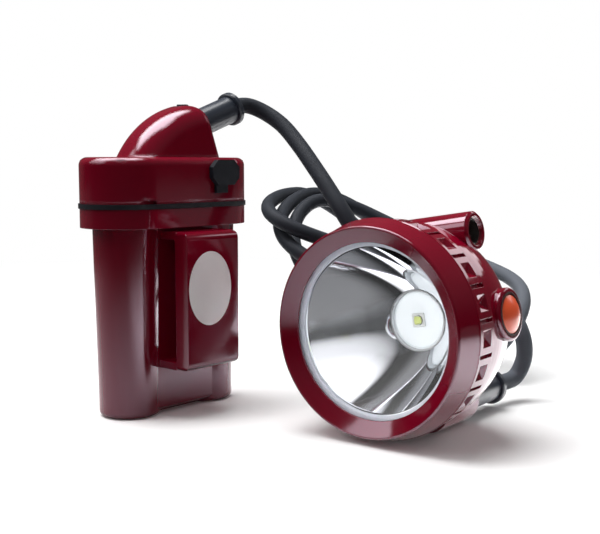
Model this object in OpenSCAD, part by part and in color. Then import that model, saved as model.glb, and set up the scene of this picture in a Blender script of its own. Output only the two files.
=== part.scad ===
// Corded miner's cap lamp: battery pack for the belt, coiled cable and screw-bezel head.
// The origin is the centre of the pack's base, Z is up and the belt loop faces -Y.

/* [Battery pack case] */
// Distance between the centres of the case's two round lobes
lobe_span = 38; // [37:0.5:44]
// Radius of the lobes at the base
base_r = 11.5; // [11.2:0.1:13]
// Growth of the lobe radius from base to collar
draft = 1.25; // [0.2:0.05:2]
// Height of the case below the collar
case_h = 70.9; // [70:0.5:90]
// Wall of the case
case_wall = 1.8; // [1.4:0.1:2]
// Depth of the flat between the lobes, at the base
valley = 1.1; // [0.3:0.1:1.2]
// Rounding of the base edge
base_round = 2; // [0.5:0.1:3]
// Height of the relief under the edge of the flat
base_relief = 1.6; // [0.4:0.1:1.8]
// Thickness of the case floor
floor_t = 2; // [1.5:0.1:3]
// Radius of the collar's round ends
collar_r = 17.2; // [16.8:0.1:20]
// Height of the collar
collar_h = 7.1; // [5:0.1:10]

/* [Belt loop] */
// Width of the loop's plate
loop_w = 26; // [20:1:27]
// Thickness of the plate
loop_t = 6.6; // [4:0.1:8]
// Lowest point of the loop
loop_z = 18.2; // [12:0.1:24]
// Gap between the top of the loop and the collar
loop_gap = 1.4; // [0.5:0.1:4]
// Depth of that slot
belt_slot_d = 8.2; // [6:0.1:14]
// Thickness of the webs above and below the slot
web_t = 2.8; // [2.4:0.1:5]
// Rounding of the plate's corners
plate_round = 1.5; // [1:0.1:8]

/* [Pack cover] */
// Thickness of the gasket under the cover
gasket_t = 1.8; // [1:0.1:3]
// How far the gasket stands out of the joint
gasket_proud = 0.5; // [0:0.1:1]
// Height of the cover without its hood
cover_h = 17; // [15:0.1:22]
// Wall of the cover
cover_wall = 2.2; // [1.6:0.1:2.6]
// Rounding of the cover's top edge
cover_round = 3; // [1:0.1:4]
// Radius at which the screws stand round each lobe's centre
screw_ring_r = 15; // [14.6:0.1:15.2]
// Diameter of the cover screws
screw_d = 2; // [1.6:0.1:2.5]
// Diameter of the screw bosses in the cover
screw_boss_d = 4.2; // [4:0.1:5]

/* [Hood] */
// Half width of the hood
hood_half_w = 10.6; // [9:0.1:11]
// Left foot of the hood on the cover
hood_left = -19.6; // [-21:0.1:-17]
// Right foot of the hood on the cover
hood_right = 18.8; // [17:0.1:19.5]
// Centre of the hood's arch along X
arch_cx = 16.5; // [15:0.1:18]
// Depth of the arch's centre below the cover's top
arch_drop = 20.7; // [19:0.1:23]
// Lean of the hood's outlet face from upright
outlet_lean = 20; // [15:0.5:25]
// Rounding between arch and outlet face
hood_nose_r = 5; // [3:0.1:6]
// Rounding along the arch's edges
hood_edge_r = 8.4; // [3:0.1:9]
// Wall of the hood
hood_wall = 2.4; // [1.8:0.1:3]
// Height of the cable outlet above the cover's top
outlet_z = 12; // [10:0.1:12.2]
// Place along X of the breather on the hood
vent_x = 9.5; // [8:0.1:9.8]
// Radius of the breather
vent_r = 2.3; // [1.8:0.1:2.6]
// How far the breather stands above the hood's ridge
vent_proud = 0.6; // [0.3:0.1:1]

/* [Charging port of the pack] */
// Centre of the port along X
port_x = 14.1; // [13:0.1:15]
// Height of the port above the cover's lower edge
port_z = 11.3; // [9:0.1:11.5]
// Width of the eight-sided plug
plug_w = 14; // [12:0.5:16]
// Height of that plug
plug_h = 9.6; // [9:0.1:10.5]
// Thickness of the plug's head
plug_t = 2.2; // [1.5:0.1:3]
// Bore radius of the jack
jack_bore_r = 2.8; // [2.4:0.1:3]
// Wall of the jack's barrel
jack_wall = 1; // [0.8:0.1:1.4]
// Width of the plug's pull tab
tab_w = 6; // [4:0.5:8]
// Length of that tab below the plug
tab_l = 3; // [2:0.1:4]
// Length of the jack
jack_l = 13; // [11:0.5:16]
// Travel of the plug when it is pulled out
plug_travel = 9; // [7:0.5:12]

/* [Cells and board] */
// Diameter of a cell
cell_d = 18.4; // [18:0.1:18.6]
// Length of a cell
cell_l = 65; // [60:0.5:65]
// Thickness of the foam pads
pad_t = 1; // [0.6:0.1:1.2]
// Width of the foam pads
pad_w = 12; // [10:0.5:14]
// Thickness of the nickel links
link_t = 0.2; // [0.15:0.05:0.3]
// Width of the nickel links
link_w = 8; // [5:0.5:9]
// Diameter of a cell's raised contact
contact_d = 6; // [5:0.5:8]
// Length of the protection board
protection_l = 40; // [34:0.5:44]
// Width of that board
protection_w = 16; // [12:0.5:18]
// Thickness of the circuit boards
board_t = 1.6; // [1:0.1:2]

/* [Cable and boots] */
// Diameter of the cable
cable_d = 6.5; // [6:0.1:6.8]
// Radius of the boot's tube
boot_r = 5.5; // [5:0.1:6]
// Radius of the boot's rim
boot_rim_r = 6.75; // [6.2:0.05:7]
// Width of the rim
boot_rim_w = 3; // [2:0.1:4]
// Radius of the collar at the boot's root
boot_collar_r = 6.9; // [6.6:0.1:7.4]
// Thickness of that collar
boot_collar_t = 1.8; // [1.5:0.1:3]
// Length of the pack's boot outside the hood
boot_l = 24.5; // [22:0.5:30]
// Length of the head's boot outside the housing
head_boot_l = 26; // [22:0.5:30]
// Radius of the boot's neck in the wall
boot_neck_r = 4.6; // [4.4:0.1:5]
// Thickness of the flange inside the wall
boot_flange_t = 1.5; // [1:0.1:2]

/* [Head housing] */
// Outer radius of the threaded neck
neck_r = 34; // [33.6:0.1:34.1]
// Outer radius of the shoulder
shoulder_r = 36; // [35.5:0.1:37]
// Radius of the flat back
back_r = 24; // [22:0.5:27]
// Depth from the front of the bezel to the shoulder
shoulder_z = 21.9; // [21.6:0.1:23]
// Width of the shoulder
shoulder_w = 4.1; // [3:0.1:5]
// Depth from the front of the bezel to the back
back_z = 52; // [51:0.5:54]
// Wall of the housing
head_wall = 2; // [1.6:0.1:2.2]
// Radius of the gland boss for the cable
gland_r = 8; // [7.6:0.1:8.2]
// Place of the cable gland across the head
gland_x = 5; // [0:0.5:8]
// Distance of the cable gland below the head's axis
gland_y = 31; // [29:0.1:31.4]

/* [Bezel] */
// Radius of the bezel at its front
bezel_front_r = 36; // [35:0.1:37]
// Largest radius of the bezel
bezel_r = 38.2; // [38:0.1:39]
// Depth of that largest radius behind the front
bezel_wall_z = 10; // [8:0.1:11]
// Wall of the bezel at the grip band
grip_wall = 3; // [2.6:0.1:3.3]
// Number of grip slots and pockets
grip_n = 20; // [12:1:24]
// Length of a grip slot along the axis
slot_l = 8.3; // [6:0.1:9]
// Width of a grip slot
slot_w = 1.4; // [0.8:0.1:2]
// Depth of a grip slot
slot_depth = 1.1; // [0.5:0.1:1.3]
// Length of a pocket along the axis
pocket_l = 5.6; // [3:0.1:7]
// Width of a pocket round the band
pocket_w = 6; // [3:0.1:7]
// Length of the valley at a pocket's bottom
valley_l = 2.4; // [1:0.1:3]
// Depth of a pocket
pocket_depth = 1.8; // [0.5:0.1:1.9]
// Radius of the bezel's opening
opening_r = 30.2; // [29:0.1:30.4]
// Depth of the opening's edge behind the front
opening_z = 3.6; // [2.5:0.1:4]
// Thickness of the lip in front of the lens
lip_t = 0.8; // [0.6:0.1:1.2]

/* [Lens and reflector] */
// Radius of the lens
lens_r = 33; // [32:0.1:33.2]
// Thickness of the lens
lens_t = 2; // [1.5:0.1:2.5]
// Inner radius of the seal behind the lens
lens_seal_r = 28.8; // [28.6:0.1:29.2]
// Thickness of that seal
lens_seal_t = 0.8; // [0.6:0.1:1]
// Rim radius of the reflector's bowl
bowl_r = 28.6; // [27:0.1:28.8]
// Radius of the hole at the bottom of the bowl
bowl_hole_r = 11.4; // [11.3:0.1:12]
// Depth of the bowl
bowl_depth = 27.3; // [22:0.1:27.5]
// Wall of the reflector
bowl_wall = 1; // [0.8:0.1:1.2]
// Thickness of the reflector's flange
bowl_flange_t = 1.2; // [0.8:0.1:1.5]

/* [Light source] */
// Radius of the white LED board
led_board_r = 10.6; // [9:0.1:10.7]
// Thickness of the LED board
led_board_t = 1.4; // [1:0.1:1.6]
// Width of the LED's package
led_w = 5; // [3.4:0.1:6]
// Height of the LED's package
led_h = 0.7; // [0.5:0.1:1]
// Width of the LED's light-giving die
die_w = 2; // [1:0.1:2.4]
// Radius of the heat sink's plug
sink_plug_r = 11.2; // [10.8:0.1:11.2]
// Length of the heat sink's plug
sink_plug_l = 5; // [4:0.1:6]
// Radius of the heat sink's flange
sink_flange_r = 21; // [18:0.5:21.5]
// Thickness of that flange
sink_flange_t = 2.4; // [1.5:0.1:3]
// Gap from the heat sink to the driver board
driver_gap = 2.6; // [2:0.1:3]

/* [Switch] */
// Radius of the switch boss
boss_r = 9.1; // [8.8:0.1:9.6]
// Distance of the boss's end from the head's axis
boss_end_x = 37.5; // [36.5:0.1:39]
// Depth of the switch behind the front of the bezel
switch_z = 34; // [33:0.1:35]
// Radius of the push button
button_r = 6.5; // [6:0.1:6.8]
// How far the button's dome stands out of the boss
button_proud = 2.1; // [1.5:0.1:3]
// Travel of the button
button_travel = 1.3; // [0.8:0.1:1.4]
// Width of the ring round the button
button_ring_w = 1; // [0.6:0.1:1.2]
// Width of the push switch
switch_w = 8; // [6:0.5:9]
// Depth of the push switch
switch_l = 7; // [5:0.5:7.5]

/* [Charging tube of the head] */
// Outer radius of the tube
tube_r = 7.1; // [6.8:0.1:7.6]
// Height of the tube above the head's axis
tube_y = 29.3; // [28:0.1:30]
// Depth of the tube behind the front of the bezel
tube_z = 38; // [37:0.1:39]
// Distance of the tube's mouth from the head's axis plane
tube_end_x = 26.2; // [23:0.1:27]
// Length of the tube
tube_l = 37.5; // [34:0.5:40]
// Outer radius of the contact sleeve
sleeve_r = 5.2; // [4.8:0.1:5.6]
// Bore radius of the contact sleeve
socket_r = 4; // [3.6:0.1:4.4]
// Length of the contact sleeve
sleeve_l = 29.5; // [27:0.5:32]
// Length of the socket's bore in front of the centre contact
socket_l = 14; // [10:0.5:16]
// How far the sleeve lies back in the tube's mouth
sleeve_set_back = 1; // [0.5:0.1:2]
// Radius of the centre contact
pin_r = 1.5; // [1:0.1:2]

/* [Cap hook] */
// Width of the hook
hook_w = 18; // [14:0.5:20]
// Thickness of the hook's steel
hook_t = 1.6; // [1.2:0.1:2]
// Height of the hook's foot on the housing
hook_foot_h = 26; // [22:0.5:30]
// Gap between the hook's tongue and the housing
hook_gap = 6; // [5.6:0.1:7]
// Distance of the hook's screws above and below the head's axis
hook_hole_y = 7; // [6:0.5:8]
// Length of the tongue
hook_tongue_l = 19; // [14:0.5:22]

/* [Place of the head] */
// Centre of the bezel's front in the pack's frame
head_x = 3.9; // [0:0.1:10]
head_y = -93.8; // [-110:0.1:-90]
// Turn of the head about the upright axis
head_yaw = 4; // [0:0.5:8]
// Roll of the head about its own axis
head_roll = 9; // [7:0.5:11]

/* [Cable coil] */
// Half length of the first turn
coil_a = 56.6; // [56:0.1:57]
// Half width of the first turn
coil_b = 42.6; // [42.2:0.1:43]
// How much shorter each turn is at either end than the one before
coil_a_step = 6.5; // [6.3:0.1:6.7]
// How much wider the first turn is at its lower end than at its upper end
coil_egg = 0.33; // [0.32:0.01:0.34]

/* [Hidden] */
$fn = 96;

// Colours of the real materials
red = [0.55, 0.02, 0.08];
black = [0.05, 0.05, 0.06];
slate = [0.28, 0.30, 0.34];
steel = [0.72, 0.73, 0.75];
brass = [0.80, 0.66, 0.34];
white = [0.93, 0.94, 0.95];
green = [0.05, 0.35, 0.18];

eps = 0.01;           // overlap that keeps cuts clean
seat = 0.05;          // radial clearance of parts that are pushed together
run_gap = 0.3;        // clearance between curved faces that move past each other
cable_depth = 5;      // how far inside a boot's mouth the free stretch of the cable begins

// Heights in the pack
collar_z = case_h;
belt_slot_h = collar_z - loop_gap - loop_z - 2*web_t;
collar_top = collar_z + collar_h;
cover_z = collar_top + gasket_t;
cover_top = cover_z + cover_h;
cell_gap = 0.2;
cell_z = base_relief + floor_t + pad_t + link_t;
cell_top = cell_z + cell_l;
cavity_r = base_r - case_wall;
cavity_half = cell_d/2 + cell_gap;
cell_reach = lobe_span/2 + contact_d;
lobes = [-lobe_span/2, lobe_span/2];
cover_cavity_r = collar_r - cover_wall;
cavity_top = cover_top - cover_wall;
jack_r = jack_bore_r + jack_wall;
screw_len = collar_h + gasket_t + 5;
screw_head_r = screw_d*0.9;
screw_head_h = screw_d*0.6;
board_z = collar_top - board_t - 1;

// Outlet of the hood: a plane that leans by outlet_lean and the axis square to it
hood_arch_r = norm([arch_cx - hood_left, arch_drop]);
arch_c = [arch_cx, cover_top - arch_drop];
outlet_n = [cos(outlet_lean), sin(outlet_lean)];
outlet_t = [-sin(outlet_lean), cos(outlet_lean)];
outlet_p = [hood_right, cover_top] + outlet_t*outlet_z/cos(outlet_lean);
vent_l = hood_wall + vent_proud;
vent_top = hood_nose(0)[1] + hood_nose_r + vent_proud;
pack_out = boot_l - cable_depth;
pack_exit = [outlet_p[0] + pack_out*outlet_n[0], 0, outlet_p[1] + pack_out*outlet_n[1]];

// Depths in the head, measured back from the bezel's front
lens_z = opening_z + lip_t;
seal_z = lens_z + lens_t;
flange_z = seal_z + lens_seal_t;
neck_z = flange_z + bowl_flange_t;
bowl_z = neck_z + bowl_depth;
led_face_z = bowl_z + 1.5;
sink_z = led_face_z + led_board_t;
sink_flange_z = sink_z + sink_plug_l - 0.7;
driver_z = sink_flange_z + sink_flange_t + driver_gap;
shell_z = shoulder_z + shoulder_w;
inner_back_z = back_z - head_wall - 0.2;
inner_r = neck_r - head_wall;
bezel_bore_r = neck_r + run_gap;
grip_r = bezel_bore_r + grip_wall;
grip_front = bezel_wall_z + 1;
grip_back = shoulder_z - 0.4;
head_z = bezel_r;

// Places for the head's own frame: x to its left hand, y up, z out of the lens
module in_head() {
    translate([head_x, head_y, head_z]) rotate([90, 0, head_yaw - 90]) rotate([0, 0, head_roll])
        children();
}
function turn_z(a, p) = [p[0]*cos(a) - p[1]*sin(a), p[0]*sin(a) + p[1]*cos(a), p[2]];
function from_head(p) =
    let (rolled = turn_z(head_roll, p), upright = [rolled[0], -rolled[2], rolled[1]])
    turn_z(head_yaw - 90, upright) + [head_x, head_y, head_z];
head_exit = from_head([gland_x, -gland_y, -(back_z - 2 + head_boot_l - cable_depth)]);

// Points of an arc from angle a0 to angle a1
function arc(c, r, a0, a1, n = 12) = [for (i = [0:n]) c + r*[cos(a0 + (a1 - a0)*i/n), sin(a0 + (a1 - a0)*i/n)]];

// A solid whose plan is two round lobes with a straight band between them
module lobed(profile, band) {
    for (x = lobes) translate([x, 0, 0]) rotate_extrude() polygon(profile);
    rotate([90, 0, 90]) linear_extrude(lobe_span, center = true)
        polygon(concat(band, [for (i = [len(band) - 1:-1:0]) [-band[i][0], band[i][1]]]));
}
module lobed_plate(r, z, h) {
    outline = [[0, z], [r, z], [r, z + h], [0, z + h]];
    lobed(outline, outline);
}
// Places for the four cover screws
module at_screws() {
    for (x = lobes, sx = [sign(x)], sy = [-1, 1])
        translate([x + sx*screw_ring_r*cos(45), sy*screw_ring_r*sin(45), 0]) children();
}

// ---- Battery pack ----
module case_outline() {
    lobe = concat([[0, 0]], arc([base_r - base_round, base_round], base_round, -90, 0),
                  [[base_r + draft, case_h + eps], [0, case_h + eps]]);
    flat_low = base_r - valley;
    flat_high = base_r + draft - valley;
    foot = flat_low - base_round - 2*base_relief;
    band = concat([[0, 0], [foot, 0], [foot + base_relief, base_relief]],
                  arc([flat_low - base_round, base_relief + base_round], base_round, -90, 0),
                  [[flat_high, case_h + eps], [0, case_h + eps]]);
    lobed(lobe, band);
}
module case_cavity() {
    z = base_relief + floor_t;
    for (x = lobes) translate([x, 0, z]) cylinder(h = collar_top, r = cavity_r);
    translate([-lobe_span/2, -cavity_half, z]) cube([lobe_span, 2*cavity_half, collar_top]);
}
module pack_body() {
    color(red) difference() {
        union() {
            case_outline();
            lobed_plate(collar_r, collar_z, collar_h);
        }
        case_cavity();
        at_screws() {
            translate([0, 0, collar_z - eps]) cylinder(h = collar_h + 2*eps, r = screw_d/2 + 0.2);
            translate([0, 0, collar_z - eps]) cylinder(h = screw_head_h + 0.4, r = screw_head_r + 0.2);
        }
    }
}
module belt_loop() {
    // Front of the flat at height z, which leans outward by the draft
    function flat_y(z) = base_r - valley + draft*(z - base_relief - base_round)/(case_h - base_relief - base_round);
    slot_low = loop_z + web_t;
    slot_high = slot_low + belt_slot_h;
    loop_top = slot_high + web_t;
    slot_y = base_r - valley + draft + belt_slot_d;
    front = slot_y + loop_t;
    r_out = 3;
    profile = concat(
        [[flat_y(loop_z), loop_z]],
        arc([front - r_out, loop_z + r_out], r_out, -90, 0, 8),
        arc([front - r_out, loop_top - r_out], r_out, 0, 90, 8),
        [[flat_y(loop_top), loop_top], [flat_y(slot_high), slot_high]],
        arc([slot_y - 1, slot_high - 1], 1, 90, 0, 4),
        arc([slot_y - 1, slot_low + 1], 1, 0, -90, 4),
        [[flat_y(slot_low), slot_low]]);
    flat_half = lobe_span/2 - sqrt(base_r*base_r - pow(base_r - valley, 2)) - 0.4;
    color(red) intersection() {
        mirror([0, 1, 0]) rotate([90, 0, 90]) linear_extrude(loop_w, center = true) polygon(profile);
        // The webs keep to the flat, and the plate's corners are rounded
        union() {
            translate([-flat_half, -slot_y - eps, 0]) cube([2*flat_half, slot_y, case_h]);
            rotate([90, 0, 0]) linear_extrude(front + 1) union() {
                for (x = [-1, 1], z = [loop_z + plate_round, loop_top - plate_round])
                    translate([x*(loop_w/2 - plate_round), z]) circle(plate_round);
                translate([-loop_w/2 + plate_round, loop_z]) square([loop_w - 2*plate_round, loop_top - loop_z]);
                translate([-loop_w/2, loop_z + plate_round])
                    square([loop_w, loop_top - loop_z - 2*plate_round]);
            }
        }
        union() {
            translate([-loop_w, -front - 1, 0]) cube([2*loop_w, front + 1 - slot_y, 2*case_h]);
            translate([-flat_half, -front, 0]) cube([2*flat_half, front, 2*case_h]);
        }
    }
}
module cover_gasket() {
    color(black) difference() {
        lobed_plate(collar_r + gasket_proud, collar_top, gasket_t);
        lobed_plate(screw_ring_r - screw_boss_d/2, collar_top - 1, gasket_t + 2);
        at_screws() translate([0, 0, collar_top - 1]) cylinder(h = gasket_t + 2, r = screw_d/2 + 0.2);
    }
}
// Centre of the hood's nose circle, which touches the arch from inside and the outlet face
function hood_nose(d) =
    let (r = hood_arch_r - d, nose = hood_nose_r - d/2,
         p = [hood_right, cover_top] - (nose + d)*outlet_n - arch_c,
         b = p*outlet_t, disc = b*b - (p*p - pow(r - nose, 2)))
    arch_c + p + outlet_t*(sqrt(disc) - b);
// Side view of the hood, drawn in by d on every side but its foot
function hood_side(d) =
    let (r = hood_arch_r - d, nose = hood_nose_r - d/2, c = hood_nose(d), touch = c - arch_c,
         a_touch = atan2(touch[1], touch[0]),
         foot = cover_top - 4, a_foot = 180 - asin((foot - arch_c[1])/r))
    concat([[hood_right - d + 4*tan(outlet_lean), foot]],
           arc(c, nose, outlet_lean, a_touch, 10), arc(arch_c, r, a_touch, a_foot, 24));
module hood_solid(d) {
    half = hood_half_w - d;
    edge = max(hood_edge_r - d, 0.5);
    r = hood_arch_r - d;
    intersection() {
        rotate([90, 0, 0]) linear_extrude(2*half, center = true) polygon(hood_side(d));
        translate([arch_c[0], 0, arch_c[1]]) rotate([90, 0, 0]) rotate_extrude()
            polygon(concat([[0, -half]], arc([r - edge, -half + edge], edge, -90, 0),
                           arc([r - edge, half - edge], edge, 0, 90), [[0, half]]));
    }
}
// Along the outlet's axis, from the outlet face
module at_outlet() {
    translate([outlet_p[0], 0, outlet_p[1]]) rotate([0, 90 - outlet_lean, 0]) children();
}
module pack_cover() {
    shell = concat([[0, cover_z], [collar_r, cover_z]],
                   arc([collar_r - cover_round, cover_top - cover_round], cover_round, 0, 90),
                   [[0, cover_top]]);
    inner = [[0, cover_z - eps], [cover_cavity_r, cover_z - eps], [cover_cavity_r, cavity_top], [0, cavity_top]];
    notch_w = 6;
    notch_h = 1.3;
    color(red) difference() {
        union() {
            difference() {
                lobed(shell, shell);
                lobed(inner, inner);
            }
            intersection() {
                lobed_plate(collar_r - 0.5, cover_z, cover_h - 1);
                at_screws() translate([0, 0, cover_z]) cylinder(h = cover_h - 1, d = screw_boss_d);
            }
            intersection() {
                hood_solid(0);
                translate([-50, -50, cavity_top]) cube(100);
            }
        }
        hood_solid(hood_wall);
        at_screws() translate([0, 0, cover_z - eps]) cylinder(h = 5.4, r = screw_d/2 - 0.2);
        at_outlet() translate([0, 0, -2*hood_wall]) cylinder(h = 3*hood_wall, r = boot_neck_r + seat);
        translate([vent_x, 0, vent_top - vent_l]) cylinder(h = vent_l, r = vent_r + seat);
        // Hole of the jack, which runs on as a groove under the cover's top
        translate([port_x, jack_l - collar_r + 1, cover_z + port_z]) rotate([90, 0, 0])
            cylinder(h = jack_l + 3, r = jack_r + seat);
        // Room for the boot's inner flange
        at_outlet() translate([0, 0, -hood_wall - 2*boot_flange_t])
            cylinder(h = 2*boot_flange_t, r = boot_neck_r + boot_flange_w + 0.1);
        // Notch for prising the cover off
        translate([lobes[0] - notch_w/2 - 3, -collar_r - 1, cover_z - 1]) cube([notch_w, 2.4, notch_h + 1]);
    }
}
module hood_vent() {
    color(black) translate([vent_x, 0, vent_top - vent_l]) rotate_extrude() polygon(concat(
        [[0, 0.1], [vent_r, 0.1]], arc([vent_r - 0.4, vent_l - 0.4], 0.4, 0, 90, 4), [[0, vent_l]]));
}
module cover_screws() {
    color(steel) at_screws() {
        translate([0, 0, collar_z + 0.2]) cylinder(h = screw_head_h, r = screw_head_r);
        translate([0, 0, collar_z + screw_head_h]) cylinder(h = screw_len - screw_head_h, r = screw_d/2 - 0.2 - eps);
    }
}
module battery_cells() {
    color([0.25, 0.45, 0.75]) for (x = [lobes[0], 0, lobes[1]]) translate([x, 0, cell_z]) {
        cylinder(h = cell_l - 1.2, d = cell_d);
        cylinder(h = cell_l, d = contact_d);
    }
}
module cell_links() {
    color(steel) for (z = [cell_z - link_t, cell_top])
        translate([-cell_reach, -link_w/2, z]) cube([2*cell_reach, link_w, link_t]);
}
module cell_pads() {
    color([0.2, 0.2, 0.2]) for (z = [cell_z - link_t - pad_t, cell_top + link_t])
        translate([-cell_reach, -pad_w/2, z]) cube([2*cell_reach, pad_w, pad_t]);
}
module protection_board() {
    part = [protection_l*0.15, protection_w*0.3, 2];
    low = cell_top + link_t + pad_t;
    color(green) {
        translate([-protection_l/2, -protection_w/2, low]) cube([protection_l, protection_w, board_t]);
        for (x = [-0.35, -0.1, 0.2]) translate([x*protection_l, -part[1]/2, low + board_t]) cube(part);
    }
}
module charge_jack() {
    nose = cover_wall + 1;
    color(black) translate([port_x, -collar_r + 0.4, cover_z + port_z]) rotate([-90, 0, 0]) difference() {
        union() {
            cylinder(h = nose, r = jack_r);
            translate([0, 0, nose]) cylinder(h = jack_l - nose, r = jack_r);
        }
        difference() {
            translate([0, 0, -eps]) cylinder(h = jack_l - 3, r = jack_bore_r);
            cylinder(h = jack_l, r = 1);
        }
    }
}
module port_plug() {
    cut = plug_h*0.29;
    w = plug_w/2;
    h = plug_h/2;
    face = -collar_r - 0.15;
    color([0.14, 0.16, 0.19]) translate([port_x, face, cover_z + port_z]) {
        rotate([90, 0, 0]) linear_extrude(plug_t)
            polygon([[w - cut, -h], [w, -h + cut], [w, h - cut], [w - cut, h],
                     [cut - w, h], [-w, h - cut], [-w, cut - h], [cut - w, -h]]);
        // Pull tab under the head
        translate([-w + 2.2, -plug_t + 0.6, -h - tab_l]) cube([tab_w, 1.2, tab_l + eps]);
        // Hollow stem that grips the jack's bore and clears its centre pin
        rotate([-90, 0, 0]) difference() {
            translate([0, 0, -0.3]) cylinder(h = 6, r = jack_bore_r - 0.1);
            translate([0, 0, 0.5]) cylinder(h = 6, r = 1.5);
        }
    }
}

// ---- Boots and cable ----
// Boot of length l along +Z from the outer face of a wall, with its neck and inner flange behind the face
module boot(wall, l) {
    color(black) rotate_extrude() polygon([
        [cable_d/2 + seat, l], [cable_d/2 + seat, -wall - boot_flange_t],
        [boot_neck_r + boot_flange_w, -wall - boot_flange_t], [boot_neck_r + boot_flange_w, -wall - 0.1],
        [boot_neck_r, -wall - 0.1], [boot_neck_r, 0], [boot_collar_r, 0],
        [boot_collar_r, boot_collar_t - 0.8], [boot_collar_r - 0.8, boot_collar_t],
        [boot_r + 0.8, boot_collar_t], [boot_r, boot_collar_t + 0.8], [boot_r, l - boot_rim_w],
        [boot_rim_r - 0.4, l - boot_rim_w], [boot_rim_r, l - boot_rim_w + 0.4],
        [boot_rim_r, l - 0.8], [boot_rim_r - 0.8, l]]);
}
cable_tail = 7;       // length of cable behind the boot's inner flange
boot_flange_w = 1.5;  // how far that flange stands out from the neck
clamp_w = 3;
clamp_wall = 1.6;
module cable_clamp() {
    color(steel) rotate_extrude() polygon([
        [cable_d/2 + seat, 0], [cable_d/2 + clamp_wall, 0],
        [cable_d/2 + clamp_wall, clamp_w], [cable_d/2 + seat, clamp_w]]);
}
// The clamp lies against the boot's inner flange
module clamp_behind(wall) {
    translate([0, 0, -wall - boot_flange_t - clamp_w]) cable_clamp();
}
module cable_end(wall, l) {
    tail = wall + boot_flange_t + cable_tail;
    color(slate) translate([0, 0, -tail]) cylinder(h = l - cable_depth + tail, d = cable_d);
}
module pack_boot() at_outlet() boot(hood_wall, boot_l);
module pack_cable_clamp() at_outlet() clamp_behind(hood_wall);
module cable_pack_end() at_outlet() cable_end(hood_wall, boot_l);

// Places for the head's cable gland, looking back out of the housing
gland_face = back_z - 2;
module at_gland() {
    in_head() translate([gland_x, -gland_y, -gland_face]) rotate([180, 0, 0]) children();
}
gland_wall = 2.4;
module head_boot() at_gland() boot(gland_wall, head_boot_l);
module head_cable_clamp() at_gland() clamp_behind(gland_wall);
module cable_head_end() at_gland() cable_end(gland_wall, head_boot_l);

// Smooth curve through hand-picked points (Catmull-Rom), with s rings from point to point
function spline_at(p, i, u) =
    let (n = len(p), a = p[max(i - 1, 0)], b = p[i], c = p[i + 1], d = p[min(i + 2, n - 1)])
    0.5*(2*b + (c - a)*u + (2*a - 5*b + 4*c - d)*u*u + (3*b - a - 3*c + d)*u*u*u);
function smooth(p, s) =
    concat([for (i = [0:len(p) - 2], k = [0:s - 1]) spline_at(p, i, k/s)], [p[len(p) - 1]]);
// Frame carried along a path without twist
function unit(v) = v/norm(v);
function tangent(p, i) = unit(p[min(i + 1, len(p) - 1)] - p[max(i - 1, 0)]);
function square_to(v, t) = unit(v - (v*t)*t);
function sides(p, i = 0, v = [0, 0, 1]) =
    i == len(p) ? [] : let (u = square_to(v, tangent(p, i))) concat([u], sides(p, i + 1, u));
// Round tube along a path as one closed solid; first and last faces are square to t0 and t1
module tube(path, r, n, t0, t1) {
    count = len(path);
    up = sides(path, 0, [0.3, 0.2, 1]);
    points = [for (i = [0:count - 1])
        let (t = i == 0 ? t0 : i == count - 1 ? t1 : tangent(path, i), u = square_to(up[i], t), v = cross(t, u))
        for (k = [0:n - 1]) path[i] + r*(cos(360*k/n)*u + sin(360*k/n)*v)];
    faces = concat(
        [[for (k = [0:n - 1]) k]], [[for (k = [n - 1:-1:0]) (count - 1)*n + k]],
        [for (i = [0:count - 2], k = [0:n - 1]) let (j = (k + 1)%n, a = i*n)
            [a + k, a + n + k, a + j]],
        [for (i = [0:count - 2], k = [0:n - 1]) let (j = (k + 1)%n, a = i*n)
            [a + j, a + n + k, a + n + j]]);
    polyhedron(points, faces);
}

// Coil: long turns that lean one behind the other, each shorter and steeper than the one
// before. It starts and ends a little past the places where the free stretches reach it.
coil_first = 4/24;
coil_last = 76/24;
coil_c = [115.2, -36.3, 44.5];
coil_az = -75;
coil_el = -26.8;
coil_lean = -46.4;
coil_lean_step = 14.9;
coil_b_step = -1.7;
coil_egg_step = -0.3;
coil_shift = [-13.9, -4.4, -0.3];
coil_sag = 19.9;
coil_u = [cos(coil_el)*cos(coil_az), cos(coil_el)*sin(coil_az), sin(coil_el)];
coil_w = unit([-coil_u[2]*cos(coil_az), -coil_u[2]*sin(coil_az), norm([coil_u[0], coil_u[1]])]);
coil_v = cross(coil_u, coil_w);
function coil_at(k) =
    let (t = 100 - 360*k, lean = coil_lean + coil_lean_step*k,
         v = cos(lean)*coil_v + sin(lean)*coil_w, n = cross(coil_u, v), up = n[2] < 0 ? -n : n,
         a = coil_a - coil_a_step*k, b = coil_b + coil_b_step*k, egg = coil_egg + coil_egg_step*k)
    coil_c + (coil_shift[0]*k + a*cos(t))*coil_u + (coil_shift[1]*k + b*(1 + egg*cos(t))*sin(t))*v
    + coil_shift[2]*k*up - [0, 0, sin(t) < 0 ? coil_sag*pow(sin(t), 2) : 0];
coil_path = [for (k = [coil_first:1/24:coil_last + 0.01]) coil_at(k)];
coil_start = coil_path[0];
coil_end = coil_path[len(coil_path) - 1];
coil_start_dir = tangent(coil_path, 0);
coil_end_dir = tangent(coil_path, len(coil_path) - 1);
// Least distance between two rings of the coil that lie at least nine rings apart
coil_near = min([for (i = [0:len(coil_path) - 10], j = [i + 9:len(coil_path) - 1])
    norm(coil_path[i] - coil_path[j])]);
echo(coil_gap = coil_near - cable_d, coil_low = min([for (p = coil_path) p[2]]) - cable_d/2);

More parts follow.
